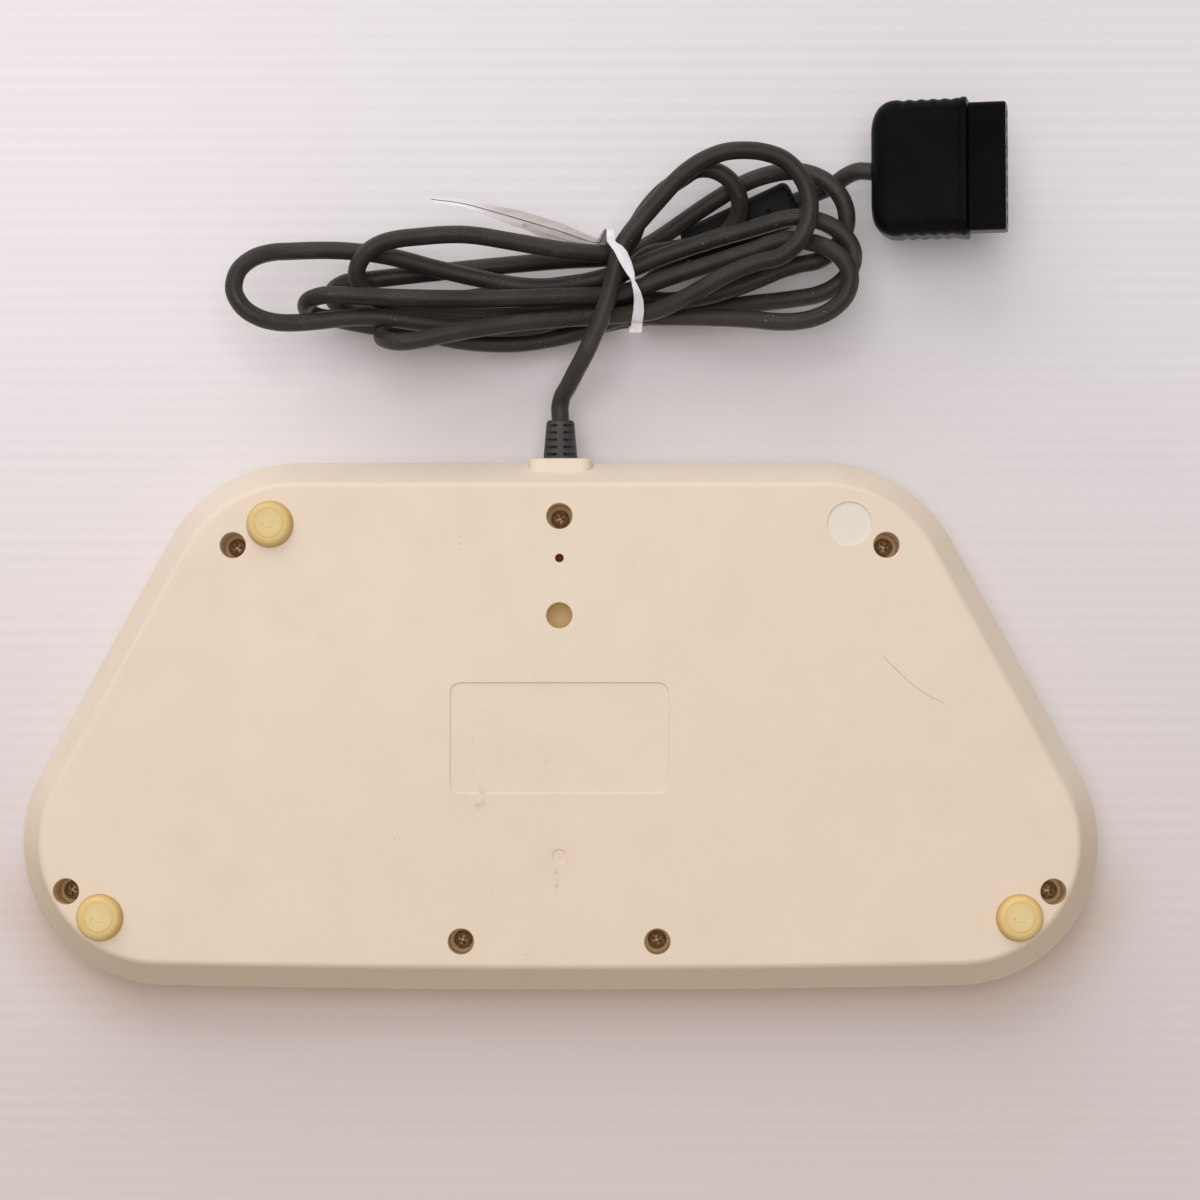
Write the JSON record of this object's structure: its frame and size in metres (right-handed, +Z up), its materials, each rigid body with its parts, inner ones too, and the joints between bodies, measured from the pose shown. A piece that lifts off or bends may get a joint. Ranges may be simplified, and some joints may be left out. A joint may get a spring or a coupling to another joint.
{
  "type": "rhythm game controller",
  "caption": "Wide tapered tabletop game controller with large round sprung buttons, a flared two-part case on rubber feet, and a tied cord that ends in a console plug.",
  "frame": {"origin": "centre of the case's outline, on the plane that the rubber feet stand on", "axes": "+X to the player's right along the case's long side, +Y away from the player towards the cord, +Z up out of the button face"},
  "size_m": [0.302, 0.2502, 0.048],
  "materials": {
    "case_plastic": "satin cream, lightly scuffed",
    "foot_rubber": "smooth, amber and slightly see-through",
    "cord_rubber": "matte dark grey",
    "black_plastic": "semi-gloss",
    "screw_steel": "dull, slightly brown",
    "dome_rubber": "matte",
    "board_laminate": "satin green",
    "tie_film": "clear milky film",
    "contact_metal": "bright",
    "grey_plastic": "satin",
    "grey_rubber": "matte",
    "button_white": "semi-gloss",
    "button_yellow": "semi-gloss",
    "button_green": "semi-gloss",
    "button_blue": "semi-gloss",
    "button_red": "semi-gloss"
  },
  "bodies": {
    "base": {"bottom_case": "case_plastic", "top_case": "case_plastic", "button_dome_1": "dome_rubber", "button_dome_2": "dome_rubber", "button_dome_3": "dome_rubber", "button_dome_4": "dome_rubber", "button_dome_5": "dome_rubber", "button_dome_6": "dome_rubber", "button_dome_7": "dome_rubber", "button_dome_8": "dome_rubber", "button_dome_9": "dome_rubber", "select_dome": "dome_rubber", "start_dome": "dome_rubber", "cable_socket": "grey_plastic", "circuit_board": "board_laminate", "controller_chip": "black_plastic", "board_screw_1": "screw_steel", "board_screw_2": "screw_steel", "board_screw_3": "screw_steel", "board_screw_4": "screw_steel", "board_screw_5": "screw_steel", "board_screw_6": "screw_steel", "case_screw_1": "screw_steel", "case_screw_2": "screw_steel", "case_screw_3": "screw_steel", "case_screw_4": "screw_steel", "case_screw_5": "screw_steel", "case_screw_6": "screw_steel", "case_screw_7": "screw_steel", "rubber_foot_1": "foot_rubber", "rubber_foot_2": "foot_rubber", "rubber_foot_3": "foot_rubber", "strain_relief": "grey_rubber", "inner_cable": "cord_rubber", "cord_lead": "cord_rubber", "cord_hank": "cord_rubber", "cord_tail": "cord_rubber", "ferrite_core": "black_plastic", "twist_tie": "tie_film", "plug_body": "black_plastic", "plug_nose": "black_plastic", "contact_strip": "contact_metal"},
    "play_button_1": {"play_button_1": "button_white"},
    "play_button_2": {"play_button_2": "button_yellow"},
    "play_button_3": {"play_button_3": "button_green"},
    "play_button_4": {"play_button_4": "button_blue"},
    "play_button_5": {"play_button_5": "button_red"},
    "play_button_6": {"play_button_6": "button_blue"},
    "play_button_7": {"play_button_7": "button_green"},
    "play_button_8": {"play_button_8": "button_yellow"},
    "play_button_9": {"play_button_9": "button_white"},
    "select_button": {"select_button": "grey_plastic"},
    "start_button": {"start_button": "grey_plastic"}
  },
  "joints": [
    {"name": "play_button_1_press", "type": "slide", "parent": "base", "child": "play_button_1", "axis": [0, 0, -1], "range_m": [0, 0.0035], "stiffness_N_per_m": 300, "springref_m": -0.0015, "deforming": ["button_dome_1"]},
    {"name": "play_button_2_press", "type": "slide", "parent": "base", "child": "play_button_2", "axis": [0, 0, -1], "range_m": [0, 0.0035], "stiffness_N_per_m": 300, "springref_m": -0.0015, "deforming": ["button_dome_2"]},
    {"name": "play_button_3_press", "type": "slide", "parent": "base", "child": "play_button_3", "axis": [0, 0, -1], "range_m": [0, 0.0035], "stiffness_N_per_m": 300, "springref_m": -0.0015, "deforming": ["button_dome_3"]},
    {"name": "play_button_4_press", "type": "slide", "parent": "base", "child": "play_button_4", "axis": [0, 0, -1], "range_m": [0, 0.0035], "stiffness_N_per_m": 300, "springref_m": -0.0015, "deforming": ["button_dome_4"]},
    {"name": "play_button_5_press", "type": "slide", "parent": "base", "child": "play_button_5", "axis": [0, 0, -1], "range_m": [0, 0.0035], "stiffness_N_per_m": 300, "springref_m": -0.0015, "deforming": ["button_dome_5"]},
    {"name": "play_button_6_press", "type": "slide", "parent": "base", "child": "play_button_6", "axis": [0, 0, -1], "range_m": [0, 0.0035], "stiffness_N_per_m": 300, "springref_m": -0.0015, "deforming": ["button_dome_6"]},
    {"name": "play_button_7_press", "type": "slide", "parent": "base", "child": "play_button_7", "axis": [0, 0, -1], "range_m": [0, 0.0035], "stiffness_N_per_m": 300, "springref_m": -0.0015, "deforming": ["button_dome_7"]},
    {"name": "play_button_8_press", "type": "slide", "parent": "base", "child": "play_button_8", "axis": [0, 0, -1], "range_m": [0, 0.0035], "stiffness_N_per_m": 300, "springref_m": -0.0015, "deforming": ["button_dome_8"]},
    {"name": "play_button_9_press", "type": "slide", "parent": "base", "child": "play_button_9", "axis": [0, 0, -1], "range_m": [0, 0.0035], "stiffness_N_per_m": 300, "springref_m": -0.0015, "deforming": ["button_dome_9"]},
    {"name": "select_button_press", "type": "slide", "parent": "base", "child": "select_button", "axis": [0, 0, -1], "range_m": [0, 0.001], "stiffness_N_per_m": 400, "springref_m": -0.001, "deforming": ["select_dome"]},
    {"name": "start_button_press", "type": "slide", "parent": "base", "child": "start_button", "axis": [0, 0, -1], "range_m": [0, 0.001], "stiffness_N_per_m": 400, "springref_m": -0.001, "deforming": ["start_dome"]}
  ]
}
